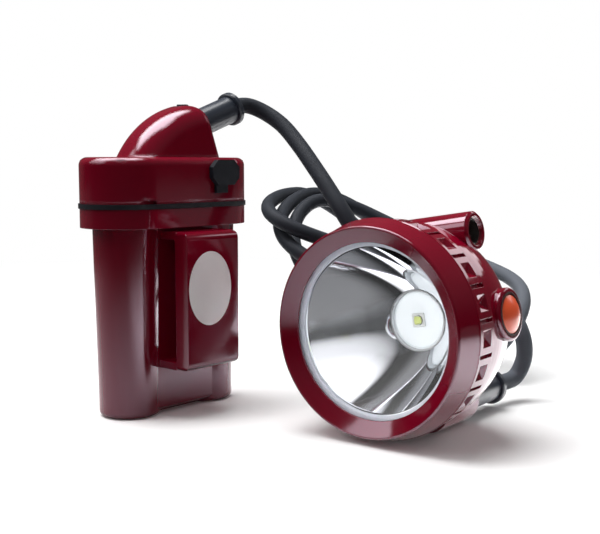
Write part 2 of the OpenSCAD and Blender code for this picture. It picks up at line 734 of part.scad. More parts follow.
// The cable runs from the pack's boot to the coil and from the coil to the head's boot. These
// points of the two free stretches were chosen by hand.
pack_run_points = [
    [45, -1.2, 118.3], [50, -6, 115.5], [52.3, -14, 110], [51.5, -23.5, 102], [49.5, -33.5, 93], [47.5, -43, 84],
    [46.5, -52, 74], [50, -59.5, 60.5], [58.5, -58.5, 48], [67.5, -52.5, 36], [75, -50, 23], [83.5, -54.5, 10]];
head_run_points = [
    [126.5, -29, 50.5], [134.5, -41, 50.5], [135.5, -54.5, 47], [127, -67, 43], [115.5, -78, 41],
    [105, -88, 38.5], [98, -96.5, 34.5], [96, -101.5, 29], [97, -103, 22.5], [98, -102, 15.5], [95, -99.5, 9]];
pack_exit_dir = [outlet_n[0], 0, outlet_n[1]];
head_exit_dir = from_head([0, 0, -1]) - from_head([0, 0, 0]);
module run(from, from_dir, points, to, to_dir) {
    path = smooth(concat([from, from + cable_d*from_dir], points, [to - cable_d*to_dir, to]), 2);
    color(slate) tube(path, cable_d/2, 12, from_dir, to_dir);
}
module cable_pack_run() run(pack_exit, pack_exit_dir, pack_run_points, coil_start, coil_start_dir);
module cable_coil() color(slate) tube(coil_path, cable_d/2, 6, coil_start_dir, coil_end_dir);
module cable_head_run() run(coil_end, coil_end_dir, head_run_points, head_exit, -head_exit_dir);

// ---- Head: every piece turns about the lens axis, drawn with radius against height ----
module bezel_ring() {
    r_edge = 0.8;
    front = bezel_front_r - r_edge;
    profile = concat(
        [[opening_r, -opening_z]],
        arc([front, -r_edge], r_edge, 100, 10, 5),
        [[bezel_r - 0.3, -bezel_wall_z + 0.6], [bezel_r, -bezel_wall_z], [bezel_r - 0.4, -bezel_wall_z - 0.5],
         [grip_r - 0.9, -bezel_wall_z - 0.7], [grip_r - 0.9, -grip_front - 0.2], [grip_r, -grip_front - 0.5],
         [grip_r, -grip_back + 0.5], [grip_r - 0.5, -grip_back],
         [bezel_bore_r, -grip_back], [bezel_bore_r, -neck_z + 0.2], [lens_r + 0.4, -neck_z + 0.2],
         [lens_r + 0.4, -lens_z + 0.05], [opening_r, -lens_z + 0.05]]);
    mid = -(grip_front + grip_back)/2;
    color(red) in_head() difference() {
        rotate_extrude() polygon(profile);
        for (i = [0:grip_n - 1]) rotate(360*i/grip_n) {
            translate([grip_r - slot_depth, -slot_w/2, mid - slot_l/2]) cube([3, slot_w, slot_l]);
            rotate(180/grip_n) translate([grip_r, 0, mid]) grip_pocket();
        }
    }
}
// Four slopes that fall to a short valley along the axis, x outward; they run on above the band
module grip_pocket() {
    above = 1;
    grow = (pocket_depth + above)/pocket_depth;
    end = valley_l/2 + (pocket_l - valley_l)/2*grow;
    intersection() {
        linear_extrude(2*end, center = true) polygon([
            [-pocket_depth, 0], [above, -pocket_w/2*grow], [above, pocket_w/2*grow]]);
        rotate([90, 0, 0]) linear_extrude(pocket_w*grow + 1, center = true) polygon([
            [-pocket_depth, -valley_l/2], [above, -end], [above, end], [-pocket_depth, valley_l/2]]);
    }
}
module lens() {
    color([0.85, 0.9, 0.95, 0.3]) in_head() translate([0, 0, -seal_z + 0.02]) rotate_extrude()
        polygon([[0, 0], [lens_r, 0], [lens_r, lens_t - 0.3], [lens_r - 0.3, lens_t - 0.02], [0, lens_t - 0.02]]);
}
module lens_seal() {
    color(white) in_head() translate([0, 0, -flange_z]) difference() {
        cylinder(h = lens_seal_t, r = lens_r);
        translate([0, 0, -1]) cylinder(h = lens_seal_t + 2, r = lens_seal_r);
    }
}
// Parabola through the rim and the hole of the bowl, moved out by d
function bowl(d, n = 24) =
    let (k = (bowl_r*bowl_r - bowl_hole_r*bowl_hole_r)/bowl_depth)
    [for (i = [0:n]) let (t = i/n, r = sqrt(bowl_r*bowl_r - k*bowl_depth*t)) [r + d, -neck_z - bowl_depth*t]];
module reflector() {
    inner = bowl(0);
    outer = bowl(bowl_wall);
    flange_r = lens_r - 0.2;
    color(steel) in_head() rotate_extrude() polygon(concat(
        [[bowl_r, -neck_z + bowl_flange_t - 0.05]], inner, [for (i = [len(outer) - 1:-1:1]) outer[i]],
        [[bowl_r + bowl_wall, -neck_z], [flange_r, -neck_z], [flange_r, -neck_z + bowl_flange_t - 0.05]]));
}
module led_board() {
    color(white) in_head() translate([0, 0, -sink_z]) cylinder(h = led_board_t, r = led_board_r);
}
module led_emitter() {
    in_head() translate([0, 0, -led_face_z]) {
        color([0.75, 0.76, 0.76]) translate([-led_w/2, -led_w/2, 0]) cube([led_w, led_w, led_h]);
        color([0.75, 0.85, 0.25]) translate([-die_w/2, -die_w/2, led_h]) cube([die_w, die_w, 0.3]);
    }
}
module heat_sink() {
    rim = 0.5;
    color([0.8, 0.8, 0.82]) in_head() difference() {
        rotate_extrude() polygon([
            [0, -sink_flange_z - sink_flange_t], [sink_flange_r, -sink_flange_z - sink_flange_t],
            [sink_flange_r, -sink_flange_z], [sink_plug_r, -sink_flange_z], [sink_plug_r, -bowl_z - 0.1],
            [led_board_r + seat, -bowl_z - 0.1], [led_board_r + seat, -sink_z], [0, -sink_z]]);
        for (s = [-1, 1]) translate([s*(led_board_r + 4), 0, -back_z]) cylinder(h = back_z, r = rim + 0.7);
    }
}
module driver_board() {
    r = sink_flange_r - 2.5;
    color(green) in_head() translate([0, 0, -driver_z - board_t]) {
        cylinder(h = board_t, r = r);
        for (a = [20, 130, 250]) rotate(a) translate([r/2, 0, board_t - 0.1]) cylinder(h = 1.8, r = 2.6);
    }
}
// Outline of the housing behind the shoulder, drawn in by d
function ogive(d) =
    let (rise = back_z - shell_z, drop = shoulder_r - back_r)
    [for (i = [0:16]) let (t = 90*i/16) [back_r + drop*cos(t) - d, -shell_z - (rise - 3)*sin(t)]];
module head_housing() {
    back_round = 3;
    outer = concat(
        [[0, -neck_z], [neck_r, -neck_z], [neck_r, -shoulder_z], [shoulder_r - 0.5, -shoulder_z],
         [shoulder_r, -shoulder_z - 0.5]],
        ogive(0), arc([back_r - back_round, -back_z + back_round], back_round, 0, -90, 6), [[0, -back_z]]);
    inner = concat(
        [[0, -neck_z + 1], [inner_r, -neck_z + 1], [inner_r, -shell_z]],
        [for (p = ogive(head_wall + 1.6)) if (p[1] < -shell_z - 4) p],
        [[back_r - head_wall - 0.5, -inner_back_z], [0, -inner_back_z]]);
    ring_in = sink_flange_r - 2.2;
    boss_in_x = sink_flange_r + 1.5;
    color(red) in_head() difference() {
        union() {
            difference() {
                rotate_extrude() polygon(outer);
                rotate_extrude() polygon(inner);
            }
            // Switch boss
            translate([boss_in_x, 0, -switch_z]) rotate([0, 90, 0]) rotate_extrude() polygon(concat(
                [[0, 0], [boss_r, 0]], arc([boss_r - 1, boss_end_x - boss_in_x - 1], 1, 0, 90, 5),
                [[0, boss_end_x - boss_in_x]]));
            // Charging tube with a domed blind end
            translate([tube_end_x, tube_y, -tube_z]) rotate([0, -90, 0]) rotate_extrude() polygon(concat(
                [[0, 0], [tube_r - 0.8, 0], [tube_r, 0.8]],
                arc([0, tube_l - tube_r], tube_r, 0, 90, 10)));
            // Gland boss
            translate([gland_x, -gland_y, -gland_face]) rotate_extrude() polygon([
                [0, 0], [gland_r - 0.6, 0], [gland_r, 0.6], [gland_r, gland_face - shell_z], [0, gland_face - shell_z]]);
            // Seat of the heat sink
            translate([0, 0, -back_z + 1]) cylinder(h = back_z - 1 - sink_flange_z - sink_flange_t - 0.1, r = sink_flange_r);
        }
        // Room for the driver board and its seat
        translate([0, 0, -driver_z - board_t - 0.1]) cylinder(h = back_z, r = ring_in);
        translate([0, 0, -inner_back_z]) cylinder(h = back_z, r = ring_in - 2);
        rotate_extrude() polygon([
            [0, -neck_z + 1], [inner_r, -neck_z + 1], [inner_r, -shoulder_z],
            [sink_flange_r + 0.6, -sink_flange_z + 0.2], [sink_flange_r + 0.6, -sink_flange_z - sink_flange_t], 
            [0, -sink_flange_z - sink_flange_t]]);
        // Well of the button, with the switch's pocket behind it
        translate([boss_end_x - 4.4, 0, -switch_z]) rotate([0, 90, 0])
            cylinder(h = 6, r = button_r + run_gap);
        translate([boss_end_x - 0.8, 0, -switch_z]) rotate([0, 90, 0])
            cylinder(h = 2, r = button_r + button_ring_w + seat);
        translate([boss_in_x - 2, -switch_w/2 - seat, -switch_z - switch_w/2 - seat])
            cube([boss_end_x - boss_in_x, switch_w + 2*seat, switch_w + 2*seat]);
        // Bore for the contact sleeve
        translate([tube_end_x - sleeve_set_back - sleeve_l - 0.1, tube_y, -tube_z]) rotate([0, 90, 0])
            cylinder(h = tube_l, r = sleeve_r + seat);
        // Gland hole and the space behind it
        translate([gland_x, -gland_y, -back_z]) cylinder(h = back_z - shell_z, r = boot_neck_r + seat);
        translate([gland_x, -gland_y, -gland_face + gland_wall])
            cylinder(h = gland_face - gland_wall - shell_z + 1, r = boot_neck_r + boot_flange_w + 0.1);
        neck_ring(seat);
        // Holes of the hook's screws
        translate([0, 0, -back_z - 1]) at_hook_holes() cylinder(h = 4, r = screw_d/2 - 0.2);
    }
}
// O-ring of the neck, or the groove that holds it, larger by d
seal_ring_r = 0.6;
module neck_ring(d) {
    rotate_extrude() translate([neck_r - seal_ring_r, -shoulder_z + 2.4]) circle(seal_ring_r + d, $fn = 24);
}
module housing_seal() color(black) in_head() neck_ring(0);
module charge_sleeve() {
    color(brass) in_head() translate([tube_end_x - sleeve_set_back, tube_y, -tube_z]) rotate([0, -90, 0])
        difference() {
            cylinder(h = sleeve_l, r = sleeve_r);
            translate([0, 0, -1]) cylinder(h = socket_l + 1, r = socket_r);
            translate([0, 0, -1]) cylinder(h = socket_l + 6, r = socket_r - 0.6);
            translate([0, 0, -1]) cylinder(h = sleeve_l + 2, r = pin_r + 1);
        }
}
module charge_pin() {
    start = socket_l + 1;
    color(steel) in_head() translate([tube_end_x - sleeve_set_back, tube_y, -tube_z]) rotate([0, -90, 0]) {
        translate([0, 0, start]) cylinder(h = sleeve_l - start, r = pin_r);
        translate([0, 0, socket_l + 5]) difference() {
            cylinder(h = sleeve_l - socket_l - 5, r = pin_r + 1 - eps);
            translate([0, 0, -1]) cylinder(h = sleeve_l, r = pin_r - eps);
        }
    }
}
// Along the switch's axis, outward from the boss's end
module at_switch() {
    in_head() translate([boss_end_x, 0, -switch_z]) rotate([0, 90, 0]) children();
}
module switch_button() {
    dome_r = (button_r*button_r + button_proud*button_proud)/(2*button_proud);
    rim = asin(button_r/dome_r);
    color([0.95, 0.28, 0.10]) at_switch() rotate_extrude() polygon(concat(
        [[0, -2.6], [button_r, -2.6]], arc([0, button_proud - dome_r], dome_r, 90 - rim, 90, 12)));
}
module switch_seal() {
    color(black) at_switch() translate([0, 0, -0.8]) difference() {
        cylinder(h = 1, r = button_r + button_ring_w);
        translate([0, 0, -1]) cylinder(h = 4, r = button_r + run_gap);
    }
}
module switch_body() {
    plunger = 1.4;
    color([0.2, 0.2, 0.22]) at_switch() {
        translate([-switch_w/2, -switch_w/2, -boss_end_x + sink_flange_r + 2]) cube([switch_w, switch_w, switch_l]);
        translate([0, 0, -boss_end_x + sink_flange_r + 2 + switch_l]) cylinder(h = plunger, r = 1.5);
    }
}
// Bent strip: a foot on the housing's back, a bend at the top and a tongue that points down
module cap_hook() {
    bend_y = hook_foot_h/2 - hook_gap/2 - hook_t;
    bend_c = [bend_y, -hook_t - hook_gap/2];
    tip = bend_y - hook_tongue_l;
    out = 2*hook_t + hook_gap;
    color(steel) in_head() translate([0, 0, -back_z]) difference() {
        rotate([90, 0, 90]) linear_extrude(hook_w, center = true) polygon(concat(
            [[-hook_foot_h/2, -hook_t], [-hook_foot_h/2, 0]],
            arc(bend_c, hook_gap/2 + hook_t, 90, -90), [[tip + 1, -out], [tip, -out + 0.8]],
            [[tip, -out + hook_t]], arc(bend_c, hook_gap/2, -90, 90)));
        at_hook_holes() translate([0, 0, -hook_t]) hook_screw(seat);
        // The tongue leaves room for the screwdriver
        at_hook_holes() translate([0, 0, -out - 1]) cylinder(h = hook_t + 2, r = 2.2);
    }
}
module at_hook_holes() for (y = [-1, 1]) translate([0, y*hook_hole_y, 0]) children();
// Countersunk screw whose head is level with z = 0, grown by d
module hook_screw(d) {
    head_r = screw_d;
    translate([0, 0, -1]) cylinder(h = hook_t + 3.4, r = screw_d/2 - 0.2 - eps + d);
    rotate_extrude() polygon([[0, 0], [head_r + d, 0], [screw_d/2 - 0.2 + d, head_r - screw_d/2 + 0.2],
                              [0, head_r - screw_d/2 + 0.2]]);
}
module hook_screws() {
    color(steel) in_head() translate([0, 0, -back_z - hook_t]) at_hook_holes() intersection() {
        hook_screw(0);
        translate([-5, -5, 0]) cube(10);
    }
}

pack_body();
belt_loop();
cover_gasket();
pack_cover();
cover_screws();
battery_cells();
cell_links();
cell_pads();
protection_board();
charge_jack();
port_plug();
pack_boot();
pack_cable_clamp();
hood_vent();
cable_pack_end();
cable_pack_run();
cable_coil();
cable_head_run();
cable_head_end();
bezel_ring();
lens();
lens_seal();
reflector();
led_board();
led_emitter();
heat_sink();
driver_board();
head_housing();
housing_seal();
charge_sleeve();
charge_pin();
switch_button();
switch_seal();
switch_body();
head_boot();
head_cable_clamp();
cap_hook();
hook_screws();
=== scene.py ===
"""Dresses the miner's cap lamp: cable, bowl, LED, sticker, materials, floor, lights and camera."""

import bpy
import bmesh
import math
from mathutils import Matrix, Vector


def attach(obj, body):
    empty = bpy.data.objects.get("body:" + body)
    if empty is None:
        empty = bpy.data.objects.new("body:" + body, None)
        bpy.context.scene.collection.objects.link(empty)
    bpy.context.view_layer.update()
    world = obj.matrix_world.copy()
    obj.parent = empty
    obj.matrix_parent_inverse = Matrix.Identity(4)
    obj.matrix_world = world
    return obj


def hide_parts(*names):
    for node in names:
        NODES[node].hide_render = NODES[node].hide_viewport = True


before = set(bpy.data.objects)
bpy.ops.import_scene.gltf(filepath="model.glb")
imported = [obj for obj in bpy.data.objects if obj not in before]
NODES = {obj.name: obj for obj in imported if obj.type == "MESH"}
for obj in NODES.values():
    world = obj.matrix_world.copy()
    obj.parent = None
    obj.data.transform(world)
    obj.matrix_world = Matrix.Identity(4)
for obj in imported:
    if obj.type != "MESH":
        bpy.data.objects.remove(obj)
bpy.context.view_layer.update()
MM = 0.001


def new_object(name, data):
    obj = bpy.data.objects.new(name, data)
    bpy.context.scene.collection.objects.link(obj)
    return obj


# ---------------------------------------------------------------- camera
CAMERA_AT = (-0.25725, -0.29431, 0.0948)
PITCH, HEADING = 5.959, 48.816  # degrees down from level, and degrees from y towards x
LENS, SENSOR, CLIP_START = 60, 36, 0.01


def make_camera():
    data = bpy.data.cameras.new("camera")
    data.lens = LENS
    data.sensor_width = SENSOR
    data.sensor_fit = "HORIZONTAL"
    data.clip_start = CLIP_START
    camera = new_object("camera", data)
    camera.location = CAMERA_AT
    camera.rotation_euler = (math.radians(90 - PITCH), 0, math.radians(-HEADING))
    bpy.context.scene.camera = camera


make_camera()

# The studio has its own axes: forward is where the camera looks, across is to its right
FORWARD = Vector((math.sin(math.radians(HEADING)), math.cos(math.radians(HEADING)), 0))
ACROSS = Vector((FORWARD.y, -FORWARD.x, 0))
UP = Vector((0, 0, 1))

# ---------------------------------------------------------------- the head's own axes
HEAD_YAW, HEAD_ROLL = math.radians(4), math.radians(9)
HEAD_AT = Vector((3.9, -93.8, 38.2)) * MM
# Local x to the head's left hand, y up, z out of the lens
HEAD = (
    Matrix.Translation(HEAD_AT)
    @ Matrix.Rotation(HEAD_YAW - math.pi / 2, 4, "Z")
    @ Matrix.Rotation(math.pi / 2, 4, "X")
    @ Matrix.Rotation(HEAD_ROLL, 4, "Z")
)


def from_head(x, y, z):
    return HEAD @ (Vector((x, y, z)) * MM)


# ---------------------------------------------------------------- cable: the route of part.scad
CABLE_D = 6.5 * MM
CABLE_BEVEL = 7  # Blender's bevel resolution, for the roundness
RUN_STEPS, COIL_STEPS = 6, 4  # points of the curve for each point of the route

# The two ends, inside the pack's boot and the head's
OUTLET_LEAN = math.radians(20)
COVER_TOP, HOOD_RIGHT, OUTLET_Z = 96.8, 18.8, 12
PACK_OUT = 19.5  # from the hood's outlet to where the free cable begins
OUTLET_N = Vector((math.cos(OUTLET_LEAN), 0, math.sin(OUTLET_LEAN)))
OUTLET_T = Vector((-math.sin(OUTLET_LEAN), 0, math.cos(OUTLET_LEAN)))
OUTLET_AT = Vector((HOOD_RIGHT, 0, COVER_TOP)) + OUTLET_T * (OUTLET_Z / math.cos(OUTLET_LEAN))
PACK_EXIT = (OUTLET_AT + OUTLET_N * PACK_OUT) * MM
GLAND_X, GLAND_Y, GLAND_END = 5, 31, 71
HEAD_EXIT = from_head(GLAND_X, -GLAND_Y, -GLAND_END)
HEAD_OUT = (HEAD.to_3x3() @ Vector((0, 0, -1))).normalized()

# The two free stretches, listed point by point
PACK_RUN = [
    (45, -1.2, 118.3), (50, -6, 115.5), (52.3, -14, 110), (51.5, -23.5, 102),
    (49.5, -33.5, 93), (47.5, -43, 84), (46.5, -52, 74), (50, -59.5, 60.5),
    (58.5, -58.5, 48), (67.5, -52.5, 36), (75, -50, 23), (83.5, -54.5, 10),
]
HEAD_RUN = [
    (126.5, -29, 50.5), (134.5, -41, 50.5), (135.5, -54.5, 47), (127, -67, 43),
    (115.5, -78, 41), (105, -88, 38.5), (98, -96.5, 34.5), (96, -101.5, 29),
    (97, -103, 22.5), (98, -102, 15.5), (95, -99.5, 9),
]

# Coil: long turns that lean one behind the other, each shorter and steeper than the one before.
# Angles are in degrees. A step is what changes from one turn to the next.
COIL_C = Vector((115.2, -36.3, 44.5))  # middle of the first turn
COIL_AZ, COIL_EL = -75, -26.8  # where the long axis of the turns points
COIL_A, COIL_A_STEP = 56.6, 6.5  # half length, and how much shorter it gets
COIL_B, COIL_B_STEP = 42.6, -1.7  # half width
COIL_EGG, COIL_EGG_STEP = 0.33, -0.3  # how much wider the lower end is
COIL_LEAN, COIL_LEAN_STEP = -46.4, 14.9  # about the long axis
COIL_SHIFT = (-13.9, -4.4, -0.3)  # step of the middle: along, across and square to the turn
COIL_SAG = 19.9  # how far one side of a turn hangs down
COIL_START = 100  # angle on the turn from which the turns are counted
COIL_POINTS = 24  # points in a turn
COIL_FIRST, COIL_LAST = 4, 76  # counted in those points


def coil_axes():
    """Unit vectors along the turns, level across them, and upright across them."""
    az, el = math.radians(COIL_AZ), math.radians(COIL_EL)
    lengthwise = Vector((math.cos(el) * math.cos(az), math.cos(el) * math.sin(az), math.sin(el)))
    rise = math.hypot(lengthwise.x, lengthwise.y)
    upright = Vector((-lengthwise.z * math.cos(az), -lengthwise.z * math.sin(az), rise)).normalized()
    return lengthwise, lengthwise.cross(upright), upright


COIL_U, COIL_V, COIL_W = coil_axes()


def coil_at(k):
    """Point of the coil after k turns."""
    t = math.radians(COIL_START - 360 * k)
    lean = math.radians(COIL_LEAN + COIL_LEAN_STEP * k)
    v = math.cos(lean) * COIL_V + math.sin(lean) * COIL_W
    n = COIL_U.cross(v)
    if n.z < 0:
        n = -n
    a = COIL_A - COIL_A_STEP * k
    b = COIL_B + COIL_B_STEP * k
    egg = COIL_EGG + COIL_EGG_STEP * k
    p = COIL_C + (COIL_SHIFT[0] * k + a * math.cos(t)) * COIL_U
    p += (COIL_SHIFT[1] * k + b * (1 + egg * math.cos(t)) * math.sin(t)) * v + COIL_SHIFT[2] * k * n
    if math.sin(t) < 0:
        p.z -= COIL_SAG * math.sin(t) ** 2
    return p * MM


def smooth(points, steps):
    """Catmull-Rom curve through the points, as in part.scad."""
    out = []
    last = len(points) - 1
    for i in range(last):
        a, b, c, d = (points[max(i - 1, 0)], points[i], points[i + 1], points[min(i + 2, last)])
        for k in range(steps):
            u = k / steps
            out.append(0.5 * (2 * b + (c - a) * u + (2 * a - 5 * b + 4 * c - d) * u * u
                              + (3 * b - a - 3 * c + d) * u ** 3))
    return out + [points[last]]


def cable_route():
    coil = [coil_at(i / COIL_POINTS) for i in range(COIL_FIRST, COIL_LAST + 1)]
    start_dir = (coil[1] - coil[0]).normalized()
    end_dir = (coil[-1] - coil[-2]).normalized()
    pack_run = [PACK_EXIT, PACK_EXIT + OUTLET_N * CABLE_D]
    pack_run += [Vector(p) * MM for p in PACK_RUN] + [coil[0] - start_dir * CABLE_D, coil[0]]
    head_run = [coil[-1], coil[-1] + end_dir * CABLE_D] + [Vector(p) * MM for p in HEAD_RUN]
    head_run += [HEAD_EXIT + HEAD_OUT * CABLE_D, HEAD_EXIT]
    return smooth(pack_run, RUN_STEPS)[:-1] + smooth(coil, COIL_STEPS) + smooth(head_run, RUN_STEPS)[1:]


ROUTE = cable_route()


def make_cable():
    curve = bpy.data.curves.new("cable", "CURVE")
    curve.dimensions = "3D"
    curve.bevel_depth = 1  # times each point's radius
    curve.bevel_resolution = CABLE_BEVEL
    curve.use_fill_caps = True
    spline = curve.splines.new("POLY")
    spline.points.add(len(ROUTE) - 1)
    for point, co in zip(spline.points, ROUTE):
        point.co = (*co, 1)
        point.radius = CABLE_D / 2
    spline.use_smooth = True
    cable = new_object("cable", curve)
    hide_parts("cable_pack_run", "cable_coil", "cable_head_run")
    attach(cable, "lamp")
    return cable


cable = make_cable()

# ---------------------------------------------------------------- bowl, light source and sticker
# In mm. The bowl and the LED are drawn on the head's own axes.
NECK_Z = 8.4  # how far the bowl's rim lies behind the head's origin
BOWL_R, BOWL_HOLE_R, BOWL_DEPTH, BOWL_WALL = 28.6, 11.4, 27.3, 1
BOWL_FLANGE_R, BOWL_FLANGE_T = 32.8, 1.15
BOWL_SIDES, BOWL_STEPS, BOWL_BACK_STEPS = 180, 64, 24
LED_GAP = 1.5  # from the bowl's hole back to the board
LED_FACE_Z = NECK_Z + BOWL_DEPTH + LED_GAP
BOARD_R, BOARD_T, BOARD_EDGE = 10.6, 1.4, 0.15
GROOVE_R, GROOVE_W, GROOVE_DEPTH, GROOVE_SLANT = 9.8, 0.3, 0.3, 0.05
PACKAGE_W, PACKAGE_H, PACKAGE_EDGE, PACKAGE_CORNER = 5, 0.7, 0.15, 0.4
PACKAGE_TOP = -LED_FACE_Z + PACKAGE_H
DIE_W, DIE_H, DIE_EDGE, DIE_CORNER = 2, 0.3, 0.08, 0.2
DOME_R, DOME_SIDES = 1.9, 48
DOME_ANGLES = (0.5, 10, 20, 30, 40, 50, 60, 70, 78, 84, 88)  # degrees up from the dome's foot
STICKER_C, STICKER_A, STICKER_B = (-1.65, 48.4), 10.7, 13.8  # middle in x and z, and half axes
STICKER_Y, STICKER_T = -26.46, 0.12
STICKER_FACE, STICKER_RIM = 0.99, 0.6  # shares of the size at its face and of the thickness at its rim


def add_piece(name, rings, where, replaces=None, caps=True, sharp=35):
    """Skin through rings of points in mm, capped at its ends or closed into a loop, on body lamp."""
    points = [tuple(where(*co)) for ring in rings for co in ring]
    n = len(rings[0])
    count = len(rings)
    last = (count - 1) * n
    faces = []
    for i in range(count - 1 if caps else count):
        low = i * n
        high = (i + 1) % count * n
        faces += [(low + j, low + (j + 1) % n, high + (j + 1) % n, high + j) for j in range(n)]
    if caps:
        faces += [tuple(range(n))[::-1], tuple(range(last, last + n))]
    mesh = bpy.data.meshes.new(name)
    mesh.from_pydata(points, [], faces)
    bm = bmesh.new()
    bm.from_mesh(mesh)
    bmesh.ops.recalc_face_normals(bm, faces=bm.faces)
    bm.to_mesh(mesh)
    bm.free()
    mesh.polygons.foreach_set("use_smooth", [True] * len(mesh.polygons))
    mesh.set_sharp_from_angle(angle=math.radians(sharp))
    piece = new_object(name, mesh)
    if replaces:
        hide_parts(replaces)
    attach(piece, "lamp")
    return piece


def circle(r, z, n=96):
    return [(r * math.cos(2 * math.pi * i / n), r * math.sin(2 * math.pi * i / n), z) for i in range(n)]


def square(half, corner, z, n=8):
    """Square outline with rounded corners."""
    out = []
    for quarter, (sx, sy) in enumerate(((1, 1), (-1, 1), (-1, -1), (1, -1))):
        for i in range(n + 1):
            t = math.pi / 2 * (quarter + i / n)
            x = sx * (half - corner) + corner * math.cos(t)
            y = sy * (half - corner) + corner * math.sin(t)
            out.append((x, y, z))
    return out


def block(width, corner, low, high, edge):
    """Square block whose upper edge is bevelled."""
    half = width / 2
    sides = [square(half, corner, z) for z in (low, high - edge)]
    return sides + [square(half - edge, corner, high)]


def bowl_wall(outside, steps):
    """Parabola from the bowl's rim to its hole, moved out by that much."""
    span = BOWL_R ** 2 - BOWL_HOLE_R ** 2
    out = []
    for i in range(steps + 1):
        r = math.sqrt(BOWL_R ** 2 - span * i / steps)
        out.append(circle(r + outside, -NECK_Z - BOWL_DEPTH * i / steps, BOWL_SIDES))
    return out


def make_bowl():
    lip = [circle(BOWL_R, -NECK_Z + BOWL_FLANGE_T, BOWL_SIDES)]
    flange = [circle(BOWL_FLANGE_R, -NECK_Z + z, BOWL_SIDES) for z in (0, BOWL_FLANGE_T)]
    back = bowl_wall(BOWL_WALL, BOWL_BACK_STEPS)[::-1]
    return add_piece("reflector_bowl", lip + bowl_wall(0, BOWL_STEPS) + back + flange,
                     from_head, "reflector", caps=False, sharp=60)


def make_board():
    """Disc with a fine groove near its edge."""
    rings = [
        circle(BOARD_R, -LED_FACE_Z - BOARD_T),
        circle(BOARD_R, -LED_FACE_Z - BOARD_EDGE),
        circle(BOARD_R - BOARD_EDGE, -LED_FACE_Z),
        circle(GROOVE_R + GROOVE_W, -LED_FACE_Z),
        circle(GROOVE_R + GROOVE_W - GROOVE_SLANT, -LED_FACE_Z - GROOVE_DEPTH),
        circle(GROOVE_R + GROOVE_SLANT, -LED_FACE_Z - GROOVE_DEPTH),
        circle(GROOVE_R, -LED_FACE_Z),
    ]
    return add_piece("white_board", rings, from_head, "led_board")


def make_package():
    rings = block(PACKAGE_W, PACKAGE_CORNER, -LED_FACE_Z, PACKAGE_TOP, PACKAGE_EDGE)
    return add_piece("led_package", rings, from_head, "led_emitter")


def make_die():
    rings = block(DIE_W, DIE_CORNER, PACKAGE_TOP, PACKAGE_TOP + DIE_H, DIE_EDGE)
    return add_piece("led_die", rings, from_head)


def make_dome():
    rings = []
    for angle in DOME_ANGLES:
        a = math.radians(angle)
        rings.append(circle(DOME_R * math.cos(a), PACKAGE_TOP + DOME_R * math.sin(a), DOME_SIDES))
    return add_piece("led_dome", rings, from_head)


def oval(scale, y, n=96):
    """Outline of the sticker, parallel to the belt loop's plate."""
    out = []
    for i in range(n):
        t = 2 * math.pi * i / n
        out.append((STICKER_C[0] + STICKER_A * scale * math.cos(t), y,
                    STICKER_C[1] + STICKER_B * scale * math.sin(t)))
    return out


def in_mm(x, y, z):
    return Vector((x, y, z)) * MM


def make_sticker():
    rings = [oval(1, STICKER_Y), oval(1, STICKER_Y - STICKER_T * STICKER_RIM),
             oval(STICKER_FACE, STICKER_Y - STICKER_T)]
    return add_piece("sticker", rings, in_mm)


bowl = make_bowl()
board = make_board()
package = make_package()
die = make_die()
dome = make_dome()
sticker = make_sticker()

# ---------------------------------------------------------------- shader nodes


def math_node(tree, operation, *inputs):
    """A Math node; each input is a number or another node's output."""
    node = tree.nodes.new("ShaderNodeMath")
    node.operation = operation
    for socket, value in zip(node.inputs, inputs):
        if isinstance(value, (int, float)):
            socket.default_value = value
        else:
            tree.links.new(value, socket)
    return node.outputs[0]


def inverse(tree, value):
    return math_node(tree, "SUBTRACT", 1, value)


def along(tree, vector, direction):
    node = tree.nodes.new("ShaderNodeVectorMath")
    node.operation = "DOT_PRODUCT"
    tree.links.new(vector, node.inputs[0])
    node.inputs[1].default_value = direction
    return node.outputs["Value"]


def ramp(tree, value, span, low, high, kind="SMOOTHSTEP"):
    """Rise from low to high while value goes through span."""
    node = tree.nodes.new("ShaderNodeMapRange")
    node.interpolation_type = kind
    for socket, number in zip(("From Min", "From Max", "To Min", "To Max"), (*span, low, high)):
        node.inputs[socket].default_value = number
    tree.links.new(value, node.inputs["Value"])
    return node.outputs["Result"]


def noise(tree, where, scale, detail):
    node = tree.nodes.new("ShaderNodeTexNoise")
    node.inputs["Scale"].default_value = scale
    node.inputs["Detail"].default_value = detail
    tree.links.new(where, node.inputs["Vector"])
    return node.outputs["Fac"]


def mix_colors(tree, factor, first, second):
    """From first to second, where each is a colour or another node's output."""
    node = tree.nodes.new("ShaderNodeMix")
    node.data_type = "RGBA"
    for socket, color in (("A", first), ("B", second)):
        if isinstance(color, tuple):
            node.inputs[socket].default_value = (*color, 1)
        else:
            tree.links.new(color, node.inputs[socket])
    tree.links.new(factor, node.inputs["Factor"])
    return node.outputs["Result"]


def glow(tree, strength, kind="ShaderNodeEmission"):
    """White light; the strength is a number or another node's output."""
    node = tree.nodes.new(kind)
    node.inputs["Color"].default_value = (1, 1, 1, 1)
    if isinstance(strength, (int, float)):
        node.inputs["Strength"].default_value = strength
    else:
        tree.links.new(strength, node.inputs["Strength"])
    return node.outputs[0]


def matt(tree, grey):
    """Matt surface; the grey is a number or another node's output."""
    node = tree.nodes.new("ShaderNodeBsdfDiffuse")
    if isinstance(grey, (int, float)):
        node.inputs["Color"].default_value = (grey, grey, grey, 1)
    else:
        tree.links.new(grey, node.inputs["Color"])
    return node.outputs[0]


def either(tree, factor, first, second):
    """The first shader where factor is 0, and the second where it is 1."""
    node = tree.nodes.new("ShaderNodeMixShader")
    tree.links.new(factor, node.inputs["Fac"])
    tree.links.new(first, node.inputs[1])
    tree.links.new(second, node.inputs[2])
    return node.outputs[0]


